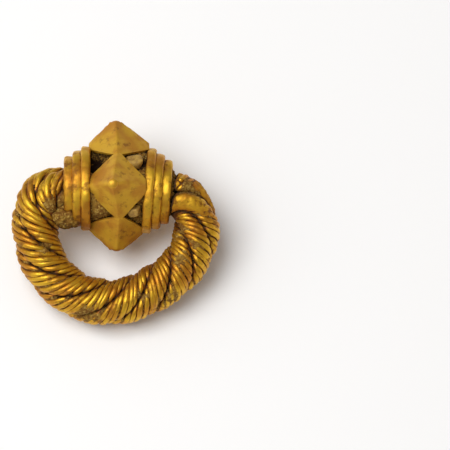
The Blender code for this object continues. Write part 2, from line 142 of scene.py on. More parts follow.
def close_mesh():
    """Turns back to object mode."""
    bpy.ops.object.mode_set(mode="OBJECT")


def start_with(primitive, name, **settings):
    """Adds a primitive with nothing else selected, and names it."""
    bpy.ops.object.select_all(action="DESELECT")
    primitive(**settings)
    piece = bpy.context.object
    piece.name = name
    return piece


def skin(name, rings):
    """A closed piece whose surface runs over rings of points and across both ends."""
    shape = bmesh.new()
    rings = [[shape.verts.new(spot) for spot in spots] for spots in rings]
    for ring, after in zip(rings[:-1], rings[1:]):
        for corner in range(len(ring)):
            there = (corner + 1) % len(ring)
            shape.faces.new((ring[corner], ring[there], after[there], after[corner]))
    shape.faces.new(rings[0])
    shape.faces.new(rings[-1])
    bmesh.ops.recalc_face_normals(shape, faces=shape.faces)
    mesh = bpy.data.meshes.new(name)
    shape.to_mesh(mesh)
    shape.free()
    return new_object(name, mesh)


# %% [markdown]
# ## The collars' lines
# On each side of the bead three rings share one line. The right collar hangs a little lower and
# leans outwards. The rope's line starts and ends in the collars, so their places come first.

# %% Places of the two collars
BEAD_HALF = 2.83 * MM
SEAM = 0.04 * MM
LARGE_WIRE = 0.45 * MM
MIDDLE_WIRE = 0.52 * MM
SMALL_WIRE = 0.52 * MM
LARGE_RADIUS = 4.0 * MM
MIDDLE_STEP = 0.55 * MM
SMALL_STEP = 0.58 * MM
RING_GAP = 0.03 * MM
LARGE_REACH = BEAD_HALF + SEAM + LARGE_WIRE


def collar(side, drop, lean):
    """The middle of a collar's large ring, its line away from the bead, and upwards."""
    return {
        "side": side,
        "lean": lean,
        "middle": np.array([BEAD_X + side * LARGE_REACH, BEAD_Y - drop]),
        "away": np.array([side * math.cos(lean), -math.sin(lean)]),
        "up": np.array([side * math.sin(lean), math.cos(lean)]),
    }


COLLARS = {
    "left": collar(-1, 0.25 * MM, 0.0),
    "right": collar(1, 0.52 * MM, math.radians(4.2)),
}
middle_along = math.sqrt((LARGE_WIRE + RING_GAP + MIDDLE_WIRE) ** 2 - MIDDLE_STEP**2)
small_along = middle_along + math.sqrt((MIDDLE_WIRE + RING_GAP + SMALL_WIRE) ** 2 - SMALL_STEP**2)
RINGS = (
    ("large", LARGE_RADIUS, LARGE_WIRE, 0.0),
    ("middle", LARGE_RADIUS - MIDDLE_STEP, MIDDLE_WIRE, middle_along),
    ("small", LARGE_RADIUS - MIDDLE_STEP - SMALL_STEP, SMALL_WIRE, small_along),
)
COLLAR_LENGTH = small_along + SMALL_WIRE
print("a collar is", round(COLLAR_LENGTH / MM, 2), "mm long from the middle of its large ring")

# %% [markdown]
# ## The rope's middle line
# The hoop is a circle that turns into each collar through a tight elbow, so its line is made of
# a straight run and arcs. The circle is not true: it is bent out a little on the lower left and
# in on the lower right. Every point also knows which way is outwards.

# %% The rope's middle line
HOOP_RADIUS = 8.5 * MM
ELBOW_RADIUS = 2.84 * MM
LINE_STEP = 0.05 * MM
FREE_END_GAP = 0.26 * MM
FILLING_HALF = 2.88 * MM
BENT_OUT = (0.27 * MM, 0.225, 0.18)
BENT_IN = (0.65 * MM, 0.69, 0.175)


def angle_of(direction):
    """The angle of a direction in the hoop's plane, from 0 to a full turn."""
    return math.atan2(direction[1], direction[0]) % TURN


def elbow_centre(side):
    """Middle of the arc that joins a collar's line to the hoop's circle."""
    foot = side["middle"] - ELBOW_RADIUS * side["up"]
    back = float(foot @ side["away"])
    excess = float(foot @ foot) - (HOOP_RADIUS - ELBOW_RADIUS) ** 2
    return foot + (math.sqrt(back**2 - excess) - back) * side["away"]


def straight_run(start, end, outwards):
    """Points of a straight run, with the direction that counts as outwards there."""
    count = max(2, int(np.linalg.norm(end - start) / LINE_STEP))
    shares = np.linspace(0.0, 1.0, count, endpoint=False)[:, None]
    return start + shares * (end - start), np.repeat(outwards[None], count, axis=0)


def arc_run(centre, radius, start, end):
    """Points of an anticlockwise arc, with the direction away from its centre."""
    count = max(2, int(abs(end - start) * radius / LINE_STEP))
    angles = np.linspace(start, end, count)[:-1]
    outwards = np.stack([np.cos(angles), np.sin(angles)], axis=1)
    return centre + radius * outwards, outwards


def bump(along, size, at, reach):
    """A soft bump of a size, at a place along the way, that reaches so far to each side."""
    return size * np.exp(-(((along - at) / reach) ** 2))


left = COLLARS["left"]
right = COLLARS["right"]
rope_start = FILLING_HALF + SEAM - LARGE_REACH
left_elbow = elbow_centre(left)
right_elbow = elbow_centre(right)
turn_in = angle_of(left_elbow)
turn_out = angle_of(right_elbow) + TURN
short_by = COLLAR_LENGTH + FREE_END_GAP - float((right_elbow - right["middle"]) @ right["away"])
cut_back = math.asin(min(1.0, max(0.0, short_by / ELBOW_RADIUS)))
line_start = left["middle"] + rope_start * left["away"]
runs = [
    straight_run(line_start, left_elbow + ELBOW_RADIUS * left["up"], left["up"]),
    arc_run(left_elbow, ELBOW_RADIUS, angle_of(left["up"]), turn_in),
    arc_run(np.zeros(2), HOOP_RADIUS, turn_in, turn_out),
    arc_run(right_elbow, ELBOW_RADIUS, turn_out, angle_of(right["up"]) + TURN - cut_back),
]
line_points, line_outwards = map(np.concatenate, zip(*runs))
line_steps = np.linalg.norm(np.diff(line_points, axis=0), axis=1)
line_along = np.concatenate([[0.0], np.cumsum(line_steps)])
ROPE_LENGTH = line_along[-1]
COLLAR_END = COLLAR_LENGTH - rope_start
circle_from = len(runs[0][0]) + len(runs[1][0])
hoop_from = line_along[circle_from]
circle = slice(circle_from, circle_from + len(runs[2][0]))
round_share = np.linspace(0.0, 1.0, len(runs[2][0]))
bends = 4.0 * round_share * (1.0 - round_share) * (bump(round_share, *BENT_OUT) - bump(round_share, *BENT_IN))
line_points[circle] += bends[:, None] * line_outwards[circle]
print("the rope's line is", round(ROPE_LENGTH / MM, 2), "mm long")

# %% [markdown]
# ## Where a point of the rope is
# The rope is four strands laid like a cable. A place on it is given by the distance along the
# line and by two numbers across it, which turn with the strand. The rope is a little thicker from
# front to back, most of all at its free end, thinner where it enters the left collar, and worn
# down on its shoulder, just before the free end.

# %% From a place in the rope to a point
STRANDS = 4
ROPE_RADIUS = 2.57 * MM
ROPE_PITCH = 14.5 * MM
CREST_AT = hoop_from + HOOP_RADIUS * (math.radians(277.9) - turn_in)
NECK_RADIUS = RINGS[2][1] - SMALL_WIRE - 0.05 * MM
EASE_LENGTH = 2.6 * MM
WIDENING = 1.1
FREE_END_WIDENING = 1.32
FREE_END_SHIFT = 0.26 * MM
SHOULDER = (0.5 * MM, -2.6 * MM, 1.5 * MM)


def ease(share):
    """0 to 1, level at both ends."""
    share = np.clip(share, 0.0, 1.0)
    return share * share * (3.0 - 2.0 * share)


def read_off(places, run, values):
    """Values at places along a line, read between its points."""
    return np.stack([np.interp(places, run, values[:, axis]) for axis in (0, 1)], axis=1)


def strand_phase(number, along):
    """The angle round the rope of a strand's crest, from outwards towards the front."""
    return TURN * (0.25 + (along - CREST_AT) / ROPE_PITCH + number / STRANDS)


def on_rope(along, across, sideways, turned):
    """Points for distances along the line and places across it, in shares of its radius."""
    points = read_off(along, line_along, line_points)
    outwards = read_off(along, line_along, line_outwards)
    outwards = outwards / np.linalg.norm(outwards, axis=1)[:, None]
    leaving = ease((along - COLLAR_END) / EASE_LENGTH)
    ending = ease((along - ROPE_LENGTH) / (2 * EASE_LENGTH) + 1.0)
    radius = NECK_RADIUS + (ROPE_RADIUS - NECK_RADIUS) * leaving
    widening = 1.0 + (WIDENING - 1.0) * leaving + (FREE_END_WIDENING - WIDENING) * ending
    out = radius * (across * np.cos(turned) - sideways * np.sin(turned))
    out = out - bump(along - ROPE_LENGTH, *SHOULDER) * ease(out / ROPE_RADIUS)
    front = radius * widening * (across * np.sin(turned) + sideways * np.cos(turned))
    return np.column_stack([points + out[:, None] * outwards, front + FREE_END_SHIFT * ending])


# %% [markdown]
# ## The lane of the wires
# Cut across, a strand is a quarter of a disc. Its seven wires lie side by side just under that
# outline and run round it as they go along, so the lane they share is the outline drawn in by
# half a wire, with its corners rounded as a wire rounds them.

# %% Outline of a strand and the lane inside it
WIRES = 7
WIRE_RADIUS = 0.31 * MM
CROWN = ((0.0, 1.0), (0.4, 0.985), (0.7, 0.935), (0.88, 0.84))
FLAT_START = 0.68
HALF_GAP = 0.03 * MM / ROPE_RADIUS
LANE_POINTS = 360
LANE_ROUNDING = 18
CLEAR = 0.98


def spread_evenly(loop, count):
    """The same closed line with its points at equal distances."""
    closed = np.vstack([loop, loop[:1]])
    run = np.concatenate([[0.0], np.cumsum(np.linalg.norm(np.diff(closed, axis=0), axis=1))])
    return read_off(np.linspace(0.0, run[-1], count, endpoint=False), run, closed)


def strand_outline():
    """A strand cut across, anticlockwise, in shares of the rope's radius."""
    half = math.pi / STRANDS
    crown = [(half * share, radius) for share, radius in CROWN]
    flat = (half - math.atan2(HALF_GAP, FLAT_START), math.hypot(HALF_GAP, FLAT_START))
    leading = crown + [flat]
    trailing = [(-angle, radius) for angle, radius in reversed(leading[1:])]
    corners = trailing + leading + [(0.0, HALF_GAP / math.sin(half))]
    loop = np.array([(radius * math.cos(angle), radius * math.sin(angle)) for angle, radius in corners])
    return spread_evenly(loop, LANE_POINTS)


def draw_in(loop, depth, rounding):
    """A closed line moved inwards, with the folds that this leaves taken out and rounded."""
    ahead = np.roll(loop, -1, axis=0) - np.roll(loop, 1, axis=0)
    inwards = np.stack([-ahead[:, 1], ahead[:, 0]], axis=1) / np.linalg.norm(ahead, axis=1)[:, None]
    moved = loop + depth * inwards
    gaps = np.linalg.norm(moved[:, None] - loop[None], axis=2).min(axis=1)
    kept = spread_evenly(moved[gaps > CLEAR * depth], LANE_POINTS)
    window = range(-rounding, rounding + 1)
    return spread_evenly(sum(np.roll(kept, step, axis=0) for step in window) / len(window), LANE_POINTS)


OUTLINE = strand_outline()
LANE = draw_in(OUTLINE, WIRE_RADIUS / ROPE_RADIUS, LANE_ROUNDING)
print("lane of the wires:", round(float(LANE[:, 0].min()), 3), "to", round(float(LANE[:, 0].max()), 3))

# %% [markdown]
# ## The wires of a strand
# Gold wire springs into smooth curves, so each wire is a curve with a round bevel, the tool for
# a tube. It keeps to its lane, wandering a little, as in hand work. A wire winds square to its
# strand, which itself runs aslant round the rope, so a point on the strand's leading side lies
# further back along the rope. The wires are wound looser on the left of the hoop and tighter on
# the right. Then the curve is made a mesh, and its end caps are merged with it.

# %% Wires of the four strands
LAY_AT_START = 8.4 * MM
LAY_AT_END = 4.4 * MM
WIRE_STEP = 0.15 * MM
SPARE = 2 * MM
SUNK = 0.09
SINK_FADE = 0.6 * MM
LANE_SCATTER = 0.02
LANE_WANDER = 0.018
LANE_WAVE = 7 * MM
DEPTH_WANDER = 0.016
DEPTH_WAVE = 4 * MM
SIZE_WANDER = 0.08
SIZE_WAVE = 3 * MM
WIRE_DENTS = (0.45 * MM, 0.11 * MM, 2)
ELBOW_AT = line_along[len(runs[0][0]) + len(runs[1][0]) // 2]
ELBOW_SPREAD = (0.25, ELBOW_AT, 3.0 * MM)
dice = random.Random(11)


def wander(along, wave):
    """A slow, smooth wandering between about -1 and 1."""
    first = dice.uniform(0.0, TURN)
    second = dice.uniform(0.0, TURN)
    slow = np.sin(TURN * along / wave + first)
    return 0.6 * slow + 0.4 * np.sin(TURN * along / (0.41 * wave) + second)


def wire_turns(along):
    """Turns of a wire round its strand, from the start of the rope."""
    tightening = (LAY_AT_END - LAY_AT_START) / ROPE_LENGTH
    return np.log(1.0 + tightening * along / LAY_AT_START) / tightening


def melting(along, smooth_length, bare_length):
    """How far the wires have melted: 0 for whole wires, 1 where they have run together."""
    begun = ease(2.0 * (along - ROPE_LENGTH + smooth_length) / smooth_length)
    return begun * (1.0 - ease((along - ROPE_LENGTH + bare_length) / SINK_FADE))


def make_wires(number, end, smooth_length, bare_length):
    """The seven wires of a strand, as one mesh of tubes that sink away where they melted."""
    drawing = bpy.data.curves.new(f"strand_{number + 1}", "CURVE")
    drawing.dimensions = "3D"
    drawing.bevel_depth = WIRE_RADIUS
    drawing.bevel_resolution = 3
    drawing.use_fill_caps = True
    along = np.arange(-SPARE, end + SPARE, WIRE_STEP)
    for wire in range(WIRES):
        lane = wire / WIRES + dice.uniform(-LANE_SCATTER, LANE_SCATTER) + wire_turns(along)
        lane = (lane + LANE_WANDER * wander(along, LANE_WAVE)) % 1.0
        shares = np.linspace(0.0, 1.0, LANE_POINTS + 1)
        across, sideways = read_off(lane, shares, np.vstack([LANE, LANE[:1]])).T
        depth = 1.0 - DEPTH_WANDER * (1.0 + wander(along, DEPTH_WAVE))
        depth = depth - SUNK * melting(along, smooth_length, bare_length)
        slope = TURN * np.hypot(across, sideways) * ROPE_RADIUS / ROPE_PITCH
        here = along - sideways * ROPE_RADIUS * slope / (1.0 + slope**2)
        thickness = 1.0 + dice.uniform(-SIZE_WANDER, SIZE_WANDER) + SIZE_WANDER * wander(along, SIZE_WAVE)
        thickness = thickness + bump(along, *ELBOW_SPREAD)
        inside = (here > 0.0) & (here < end)
        here = here[inside]
        turned = strand_phase(number, here)
        places = on_rope(here, (across * depth)[inside], (sideways * depth)[inside], turned)
        spline = drawing.splines.new("POLY")
        spline.points.add(len(here) - 1)
        spline.points.foreach_set("co", np.column_stack([places, np.ones(len(here))]).ravel())
        spline.points.foreach_set("radius", thickness[inside])
    wires = new_object(drawing.name, drawing)
    pick(wires)
    bpy.ops.object.convert(target="MESH")
    open_mesh()
    bpy.ops.mesh.remove_doubles(threshold=TOUCHING)
    close_mesh()
    make_uneven(wires, WIRE_DENTS)
    return wires


# %% [markdown]
# ## Where the wires have run together
# At the free end the wires have melted into stubs, each smooth for a few millimetres, and in the
# left elbow they are worn almost flush. Both are a loft of the strand's own outline, which comes
# up between the wires. No primitive has this section, so the rings of the loft are computed.

# %% A loft with a strand's section
STUB_STEP = 0.16 * MM
STUB_POINTS = 40
STUB_DEPTH = 0.03
STUB_ROUNDING = 16
HEART = np.array([0.6, 0.0])
ROUNDED = draw_in(OUTLINE, STUB_DEPTH, STUB_ROUNDING)[:: LANE_POINTS // STUB_POINTS]


def loft_strand(name, number, along, sizes):
    """A smooth bar along a strand, of a given size at each distance, or at each point there."""
    rings = []
    for here, size in zip(along, sizes):
        across = HEART + size * (ROUNDED - HEART)
        turned = strand_phase(number, here)
        rings.append(on_rope(np.full(STUB_POINTS, here), across[:, 0], across[:, 1], turned))
    bar = skin(f"{name}_{number + 1}", rings)
    modify(bar, "SUBSURF", levels=1, render_levels=1)
    return bar


# %% Melted stubs and worn elbows, and the finished strands
DOME = 0.3 * MM
DOME_RINGS = 9
WIRES_END = 0.35 * MM
BELOW_WIRES = 0.74
RISE_IN_MELT = 0.25
STUB_WAVES = (0.8 * MM, 0.2 * MM, 2)
STUB_LUMP = 0.24 * MM
WORN_START = 0.3 * MM
WORN_END = 9.0 * MM
WORN_SIZE = 0.86
WORN_SINK = 0.16
WORN_FADE = 3.0 * MM
WORN_WAVES = (0.5 * MM, 0.16 * MM, 2)
WORN_DIRT = 0.45
OUTER_WEAR = 0.1
OUTER_WEAR_END = 6.6 * MM
OUTER_SIDE = 0.4


def make_stub(number, smooth_length, bare_length, lumps):
    """The end of a strand, where the wires have melted together, closed by a dome."""
    body = np.arange(ROPE_LENGTH - smooth_length, ROPE_LENGTH - DOME, STUB_STEP)
    along = np.append(body, ROPE_LENGTH + np.linspace(-DOME, 0.0, DOME_RINGS)[:-1])
    surfacing = BELOW_WIRES + RISE_IN_MELT * melting(along, smooth_length, bare_length)
    closing = np.sqrt(np.clip(1.0 - np.clip((along - ROPE_LENGTH + DOME) / DOME, 0.0, 1.0) ** 2, 0.03, 1.0))
    stub = loft_strand("stub", number, along, surfacing * closing)
    make_uneven(stub, STUB_WAVES, (STUB_LUMP, lumps, 2))
    return stub


def make_worn_elbow(number):
    """The worn gold between a strand's wires in the left elbow, flush on the outer side."""
    along = np.arange(WORN_START, WORN_END, STUB_STEP)
    sizes = WORN_SIZE - WORN_SINK * ease((along - WORN_END + WORN_FADE) / WORN_FADE)
    turned = strand_phase(number, along)[:, None] + np.arctan2(ROUNDED[:, 1], ROUNDED[:, 0])
    rubbed = OUTER_WEAR * (1.0 - ease((along - OUTER_WEAR_END + WORN_FADE) / WORN_FADE))
    sizes = sizes[:, None] + rubbed[:, None] * ease(np.cos(turned) + OUTER_SIDE)
    elbow = loft_strand("worn_elbow", number, along, sizes[:, :, None])
    make_uneven(elbow, WORN_WAVES)
    return elbow


def mark(piece, amount):
    """Notes on every corner how far the gold has melted there, and so holds dirt."""
    layer = piece.data.attributes.new("melted", "FLOAT", "POINT")
    layer.data.foreach_set("value", np.full(len(piece.data.vertices), amount))


# Smooth length, bare length at the very end, lumps and dirt of the strand that ends outwards, at
# the front, inwards and at the back
STUBS = (
    (1.8 * MM, 0.0, 0.12 * MM, 1.0),
    (6.0 * MM, 1.4 * MM, 0.24 * MM, 1.9),
    (4.6 * MM, 0.0, 0.08 * MM, 1.0),
    (1.6 * MM, 0.0, 0.12 * MM, 1.0),
)

pieces = {}
for number in range(STRANDS):
    turned = math.degrees(strand_phase(number, ROPE_LENGTH)) % 360
    smooth_length, bare_length, lumps, dirt = STUBS[int((turned + 45) // 90) % 4]
    print(f"strand {number + 1} ends at {turned:.0f} degrees, smooth for {smooth_length / MM:.1f} mm")
    wires = make_wires(number, ROPE_LENGTH - WIRES_END, smooth_length, bare_length)
    stub = make_stub(number, smooth_length, bare_length, lumps)
    elbow = make_worn_elbow(number)
    mark(wires, 0.0)
    mark(stub, dirt)
    mark(elbow, WORN_DIRT)
    pick(wires)
    stub.select_set(True)
    elbow.select_set(True)
    bpy.ops.object.join()
    pieces[f"rope_strand_{number + 1}"] = lay(wires, LIE)

# %% [markdown]
# ## Earth in the rope
# Soil has settled between the wires. It is one lumpy body round the rope's line, just below the
# crests of the wires, so that it only shows in the gaps. In a few places, most of all in the
# inner bend beside the left collar, it covers the wires.

# %% Earth between the wires
EARTH_STEP = 0.17 * MM
EARTH_POINTS = 96
EARTH_DEPTH = 0.12
GROOVE_FLOOR = 0.66
EARTH_START = 0.4 * MM
EARTH_END = 0.5 * MM
EARTH_WAVES = (1.6 * MM, 0.16 * MM, 2)
EARTH_CRUMBS = (0.4 * MM, 0.24 * MM, 3)


def hoop_place(degrees):
    """Distance along the rope's line at an angle round the hoop."""
    return hoop_from + HOOP_RADIUS * (math.radians(degrees) % TURN - turn_in)


# Where soil covers the rope: along it, degrees round it, and how far it reaches and rises
CAKED = (
    (COLLAR_END + 0.7 * MM, 150, 2.2 * MM, 0.2),
    (COLLAR_END + 2.8 * MM, 125, 1.4 * MM, 0.12),
    (hoop_place(200), 112, 0.7 * MM, 0.1),
    (hoop_place(251), 42, 1.5 * MM, 0.11),
    (hoop_place(291), 84, 0.7 * MM, 0.1),
    (hoop_place(304), 32, 1.2 * MM, 0.09),
    (hoop_place(331), 108, 1.0 * MM, 0.12),
    (ROPE_LENGTH - 0.9 * MM, 62, 1.3 * MM, 0.1),
    (hoop_place(353), 138, 1.3 * MM, 0.12),
    (hoop_place(345), 84, 0.7 * MM, 0.09),
)


def crown_height(turned, phase):
    """Height of the strands' outline at an angle round the rope, in shares of its radius."""
    quarter = TURN / STRANDS
    share = np.abs((turned - phase + quarter / 2) % quarter - quarter / 2) / (quarter / 2)
    return np.interp(share, *zip(*CROWN, (1.0, GROOVE_FLOOR)))


along = np.arange(EARTH_START, ROPE_LENGTH - EARTH_END, EARTH_STEP)
angles = np.linspace(0.0, TURN, EARTH_POINTS, endpoint=False)
rings = []
for here in along:
    height = crown_height(angles, strand_phase(0, here)) - EARTH_DEPTH
    for caked_at, degrees, reach, rise in CAKED:
        aside = (angles - math.radians(degrees) + math.pi) % TURN - math.pi
        away = (here - caked_at) ** 2 + (aside * ROPE_RADIUS) ** 2
        height = height + rise * np.exp(-away / reach**2)
    rings.append(on_rope(np.full(EARTH_POINTS, here), height, np.zeros(EARTH_POINTS), angles))
rope_earth = skin("rope_earth", rings)
make_uneven(rope_earth, EARTH_WAVES, EARTH_CRUMBS)
pieces["rope_earth"] = lay(rope_earth, LIE)

# %% [markdown]
# A crust of soil bridges the rope and the rings in the inner bend on the left. Another plugs the
# right collar: it is soil, and also a dark fill that paints the shade in the gap at the free end.
# Each starts as a finely cut ball, which is stretched and roughened until nothing of the ball is left.

# %% Crusts of soil at the two collars
CRUST_LUMPS = (1.1 * MM, 0.7 * MM, 2)
CRUST_CRUMBS = (0.35 * MM, 0.3 * MM, 3)
PLUG_AT = 2.2 * MM
CRUST_MIDDLE = 0.1 * MM


def add_crust(name, place, half_sizes, turn):
    """A lumpy crust of soil, from a ball."""
    crust = start_with(bpy.ops.mesh.primitive_ico_sphere_add, name, subdivisions=6, radius=1.0)
    crust.scale = [size * MM for size in half_sizes]
    crust.rotation_euler = (0.0, 0.0, turn)
    crust.location = place
    bpy.ops.object.transform_apply()
    make_uneven(crust, CRUST_LUMPS, CRUST_CRUMBS)
    pieces[name] = lay(crust, LIE)


add_crust("elbow_earth", (-5.3 * MM, 0.72 * MM, CRUST_MIDDLE), (2.0, 1.25, 2.4), math.radians(-6))
plug_at = right["middle"] + PLUG_AT * right["away"]
# The plug is partly soil and partly a dark fill that paints the shade in the gap at the free end.
add_crust("collar_earth", (*plug_at, CRUST_MIDDLE), (0.7, 2.5, 2.5), -right["lean"])

# %% [markdown]
# ## The collar rings
# Each ring is a thick gold wire, hammered flat against its neighbour. A torus gives the round
# wire. Its section is then squared and broadened a little, which makes the broad bands that catch
# the light, and unevenness gives the marks of the hammer.

# %% Six hammered rings
SQUARENESS = 0.56
BAND = 1.09
HAMMERED = (1.3 * MM, 0.22 * MM, 2)
RING_DENTS = (0.4 * MM, 0.08 * MM, 2)


def squared(share):
    """A sine or cosine for a section with fuller corners than a circle's."""
    return math.copysign(abs(share) ** SQUARENESS, share)


def make_ring(name, side, radius, wire, along):
    """A ring of a collar."""
    place = side["middle"] + along * side["away"]
    sizes = {"major_radius": radius, "minor_radius": wire, "major_segments": 120, "minor_segments": 24}
    ring = start_with(bpy.ops.mesh.primitive_torus_add, name, **sizes)
    for vertex in ring.data.vertices:
        reach = math.hypot(vertex.co.x, vertex.co.y)
        turned = math.atan2(vertex.co.z, reach - radius)
        scale = (radius + squared(math.cos(turned)) * wire) / reach
        up = squared(math.sin(turned)) * wire * BAND
        vertex.co = (vertex.co.x * scale, vertex.co.y * scale, up)
    ring.location = (place[0], place[1], 0.0)
    ring.rotation_euler = (0.0, math.pi / 2, -side["side"] * side["lean"])
    bpy.ops.object.transform_apply()
    make_uneven(ring, HAMMERED, RING_DENTS)
    return lay(ring, LIE)


for collar_name, side in COLLARS.items():
    for size, radius, wire, along in RINGS:
        name = f"ring_{collar_name}_{size}"
        pieces[name] = make_ring(f"{name}_hammered", side, radius, wire, along)

# %% [markdown]
# ## The pyramids
# The bead is four hollow pyramids of sheet gold that meet at their belt corners. Each starts as a
# twelve-sided cone. Its corners are moved to the true foot and tip, its four ridges are bevelled
# soft, and then the sheet gets its thickness inwards.

# %% Sizes of the pyramids
RING_CORNER_DROP = 0.65 * MM
RING_CORNER_WIDTH = 1.5 * MM
BELT_RADIUS = 4.7 * MM
BELT_WIDTH = 0.9 * MM
BELT_CREST = 0.14 * MM
SHEET = 0.33 * MM
SIDE_TIP = 6.88 * MM
FACE_TIP = 7.18 * MM
GRANULE_SHOWS = 0.2 * MM
OVERLAP = 0.13 * MM
HOLLOW = 0.13 * MM
FOOT_CORNERS = 12
RIDGE_BEVEL = 0.08 * MM
EDGE_BEVEL = 0.07 * MM
SHEET_WAVES = (1.6 * MM, 0.2 * MM, 2)
SHEET_DENTS = (0.4 * MM, 0.04 * MM, 2)

# Name, angle round the bead, height, half width of the tip, its shift along and across, the right
# and left ends of the ridge, and where the two belt corners stand, all but the angle in mm
PYRAMIDS = (
    ("front", 0.0, FACE_TIP, 0.5, (-0.42, 0.24), (5.05, 4.3), (0.02, 0.2)),
    ("outer", math.pi / 2, SIDE_TIP, 0.64, (-0.16, 0.0), (4.5, 4.5), (0.4, 0.02)),
    ("back", math.pi, FACE_TIP, 0.5, (0.33, 0.2), (4.65, 4.5), (0.12, 0.4)),
    ("inner", 3 * math.pi / 2, SIDE_TIP, 0.76, (-0.1, 0.0), (5.05, 4.65), (0.2, 0.12)),
)


def ring_face(side, height):
    """Where a large ring's inner face is along the bead, at a height above its axis."""
    leaning = (BEAD_Y + height - side["middle"][1]) * math.tan(side["lean"])
    face = side["middle"][0] + side["side"] * (leaning - LARGE_WIRE / math.cos(side["lean"]))
    return face - BEAD_X + side["side"] * OVERLAP


def pyramid_foot(angle, ridges, belts):
    """The twelve points of a pyramid's foot, anticlockwise from the right ring's side."""
    belt = BELT_RADIUS / math.sqrt(2)
    points = []
    for side, away, ridge, belt_at in ((right, 1, ridges[0], belts[0]), (left, -1, ridges[1], belts[1])):
        ridge = ridge * MM
        end = ring_face(side, ridge * math.sin(angle))
        for step in (-1, 0, 1):
            corner_at = step * away * RING_CORNER_WIDTH / 2
            points.append((end, corner_at, ridge - abs(step) * RING_CORNER_DROP))
        for step in (1, 0, -1):
            along = belt_at * MM + step * away * BELT_WIDTH / 2
            crest = belt + BELT_CREST * (1 - abs(step))
            points.append((along, away * crest, crest))
    return [Vector(point) for point in points]


# %% [markdown]
# The ridges are the edges from every third corner of the foot to the tip. A bevel in edit mode
# rounds them, as wear does. The faces are then cut finer and pressed in a little between the
# ridges, as thin sheet sinks in use.

# %% Four pyramids of sheet gold
def by_angle(vertex):
    """Angle of a corner round the pyramid's axis, starting just before the right ring's side."""
    return (math.atan2(vertex.co.y, vertex.co.x) + math.radians(20)) % TURN


def make_pyramid(name, angle, height, tip, shift, ridges, belts):
    """One pyramid, with soft ridges, a blunt tip and a wall of sheet gold."""
    foot = pyramid_foot(angle, ridges, belts)
    top = height - GRANULE_SHOWS
    tip = tip * MM
    right_by, up_by = [part * MM for part in shift]
    sizes = {"vertices": FOOT_CORNERS, "radius1": BEAD_HALF, "radius2": tip, "depth": top - BELT_RADIUS}
    pyramid = start_with(bpy.ops.mesh.primitive_cone_add, f"pyramid_{name}_sheet", **sizes)
    corners = pyramid.data.vertices
    low = sorted((vertex for vertex in corners if vertex.co.z < 0), key=by_angle)
    high = sorted((vertex for vertex in corners if vertex.co.z > 0), key=by_angle)
    for below, above, point in zip(low, high, foot):
        below.co = point
        outwards = tip / math.hypot(point.x, point.y)
        above.co = (right_by + point.x * outwards, up_by + point.y * outwards, top)
    ridge_pairs = {frozenset((low[index].index, high[index].index)) for index in (1, 4, 7, 10)}
    pick(pyramid)
    open_mesh("DESELECT")
    shape = bmesh.from_edit_mesh(pyramid.data)
    for face in shape.faces:
        face.select = len(face.verts) == FOOT_CORNERS and face.calc_center_median().z < BELT_RADIUS
    bpy.ops.mesh.delete(type="ONLY_FACE")
    shape = bmesh.from_edit_mesh(pyramid.data)
    shape.verts.ensure_lookup_table()
    for edge in shape.edges:
        edge.select = frozenset(vertex.index for vertex in edge.verts) in ridge_pairs
    bpy.ops.mesh.bevel(offset=RIDGE_BEVEL, segments=2, profile=0.5, affect="EDGES")
    bpy.ops.mesh.select_all(action="SELECT")
    bpy.ops.mesh.normals_make_consistent(inside=False)
    bpy.ops.mesh.subdivide(number_cuts=3)
    close_mesh()
    for vertex in pyramid.data.vertices:
        aside = math.hypot(vertex.co.x - right_by, vertex.co.y - up_by)
        turned = math.atan2(vertex.co.y - up_by, vertex.co.x - right_by)
        share = min(1.0, max(0.0, (aside - tip) / (BEAD_HALF - tip)))
        vertex.co.z -= HOLLOW * math.sin(2 * turned) ** 2 * math.sin(math.pi * share)
    modify(pyramid, "SOLIDIFY", thickness=SHEET, offset=-1.0, use_even_offset=True)
    modify(pyramid, "BEVEL", width=EDGE_BEVEL, segments=2, limit_method="ANGLE", angle_limit=math.radians(50))
    modify(pyramid, "SUBSURF", levels=1, render_levels=1)
    make_uneven(pyramid, SHEET_WAVES, SHEET_DENTS)
    return lay(pyramid, BEAD @ Matrix.Rotation(-angle, 4, "X"))


for row in PYRAMIDS:
    pieces[f"pyramid_{row[0]}"] = make_pyramid(*row)

# %% [markdown]
# ## The granules
# A small gold ball is sunk in each tip, so only its cap shows. A sphere is cut just below the tip
# by a bisect that fills the cut, and broadened, because the high spots are worn. It is so small
# that the bisect's usual threshold would count a whole ring of points as on the cut.

# %% Four granules
GRANULE_RADIUS = 0.52 * MM
GRANULE_SUNK = 0.08 * MM
FOOT_WIDTH = 1.2
CROWN_WIDTH = 0.12


def make_granule(name, angle, height, shift):
    """The cap of a worn granule on a pyramid's tip."""
    sizes = {"segments": 40, "ring_count": 28, "radius": GRANULE_RADIUS}
    granule = start_with(bpy.ops.mesh.primitive_uv_sphere_add, f"granule_{name}_cap", **sizes)
    open_mesh()
    base = GRANULE_RADIUS - GRANULE_SHOWS - GRANULE_SUNK
    cut = {"plane_co": (0.0, 0.0, base), "plane_no": (0.0, 0.0, 1.0), "threshold": TOUCHING}
    bpy.ops.mesh.bisect(use_fill=True, clear_inner=True, **cut)
    close_mesh()
    for vertex in granule.data.vertices:
        rise = (vertex.co.z - base) / (GRANULE_RADIUS - base)
        vertex.co.x *= FOOT_WIDTH + CROWN_WIDTH * rise
        vertex.co.y *= FOOT_WIDTH + CROWN_WIDTH * rise
    place = Matrix.Translation((shift[0] * MM, shift[1] * MM, height - GRANULE_RADIUS))
    granule.matrix_basis = Matrix.Rotation(-angle, 4, "X") @ place
    return lay(granule, BEAD)


for name, angle, height, _, shift, *_ in PYRAMIDS:
    pieces[f"granule_{name}"] = make_granule(name, angle, height, shift)

